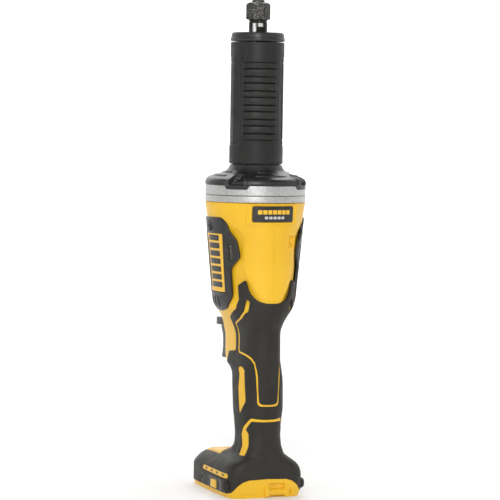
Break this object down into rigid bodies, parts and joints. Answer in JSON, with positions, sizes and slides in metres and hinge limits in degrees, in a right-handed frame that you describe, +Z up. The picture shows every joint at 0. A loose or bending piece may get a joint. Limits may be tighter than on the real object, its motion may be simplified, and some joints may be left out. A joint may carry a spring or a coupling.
{
  "type": "die grinder",
  "caption": "Cordless inline die grinder with a collet, ribbed neck grip, trigger handle and battery foot, standing on the foot.",
  "frame": {"origin": "middle of the bounding box seen from above, on the surface the foot stands on; the spindle axis is 12.2 mm behind it, at y = +0.0122", "axes": "+Z up the spindle towards the collet, +Y towards the back of the tool (label side), -Y the trigger side, +X the tool's left side"},
  "size_m": [0.0804, 0.1056, 0.396],
  "materials": {
    "yellow_shell": "fine moulded grain",
    "rubber": "soft matte overmould",
    "black_plastic": "satin glass filled nylon",
    "cast_aluminium": "as cast, tumbled",
    "steel": "ground",
    "dark_steel": "blackened",
    "laminations": "laminated",
    "copper": null,
    "grey_plastic": "satin",
    "circuit_board": "solder mask",
    "clear_lens": "clear plastic"
  },
  "bodies": {
    "housing": {"nose_cap": "black_plastic", "grip_sleeve": "rubber", "neck_tube": "cast_aluminium", "spindle_bearing_front": "steel", "spindle_bearing_mid": "steel", "vent_flange": "black_plastic", "flange_screw_1": "dark_steel", "flange_screw_2": "dark_steel", "flange_screw_3": "dark_steel", "flange_screw_4": "dark_steel", "ring_front": "cast_aluminium", "ring_rear": "cast_aluminium", "rotor_bearing_front": "steel", "rotor_bearing_rear": "steel", "stator": "laminations", "winding_front": "copper", "winding_rear": "copper", "sensor_board": "circuit_board", "motor_end_plate": "grey_plastic", "housing_left": "yellow_shell", "housing_right": "yellow_shell", "back_label": "black_plastic", "side_grip_left": "rubber", "side_grip_right": "rubber", "back_grip_left": "rubber", "back_grip_right": "rubber", "foot_bumper_left": "rubber", "foot_bumper_right": "rubber", "side_panel_left": "black_plastic", "side_panel_right": "black_plastic", "badge_left": "yellow_shell", "badge_right": "yellow_shell", "panel_screw_left": "dark_steel", "panel_screw_right": "dark_steel", "speed_strip": "yellow_shell", "speed_panel": "black_plastic", "foot_screw": "dark_steel", "light_bezel": "yellow_shell", "light_lens": "clear_lens", "switch_module": "black_plastic", "trigger_spring": "steel", "lock_spring": "steel", "control_module": "grey_plastic", "battery_rails": "black_plastic", "terminal_block": "black_plastic", "contact_1": "copper", "contact_2": "copper", "contact_3": "copper"},
    "spindle": {"spindle": "steel", "shaft_coupling": "steel", "rotor_shaft": "steel", "rotor_core": "laminations", "fan": "black_plastic"},
    "collet": {"collet": "dark_steel"},
    "collet_nut": {"collet_nut": "dark_steel"},
    "trigger": {"trigger": "black_plastic"},
    "lock_button": {"lock_button": "black_plastic"},
    "speed_button": {"speed_button": "yellow_shell"}
  },
  "joints": [
    {"name": "spindle_spin", "type": "hinge", "parent": "housing", "child": "spindle", "pos_m": [0, 0.0122, 0.3], "axis": [0, 0, 1], "continuous": true},
    {"name": "collet_slide", "type": "slide", "parent": "spindle", "child": "collet", "axis": [0, 0, 1], "range_m": [0, 0.0015]},
    {"name": "nut_turn", "type": "hinge", "parent": "collet", "child": "collet_nut", "pos_m": [0, 0.0122, 0.387], "axis": [0, 0, 1], "range_deg": [0, 541]},
    {"name": "trigger_pull", "type": "slide", "parent": "housing", "child": "trigger", "axis": [0, 1, 0], "range_m": [0, 0.006], "stiffness_N_per_m": 800, "springref_m": -0.004, "deforming": ["trigger_spring"]},
    {"name": "lock_push", "type": "slide", "parent": "housing", "child": "lock_button", "axis": [0, 1, 0], "range_m": [0, 0.004], "stiffness_N_per_m": 600, "springref_m": -0.003, "deforming": ["lock_spring"]},
    {"name": "speed_push", "type": "slide", "parent": "housing", "child": "speed_button", "axis": [-1, 0, 0], "range_m": [0, 0.0008], "stiffness_N_per_m": 1500, "springref_m": -0.0005}
  ],
  "couplings": [
    {"joint": "nut_turn", "follows": "collet_slide", "rad_per_m": 6283.2}
  ]
}
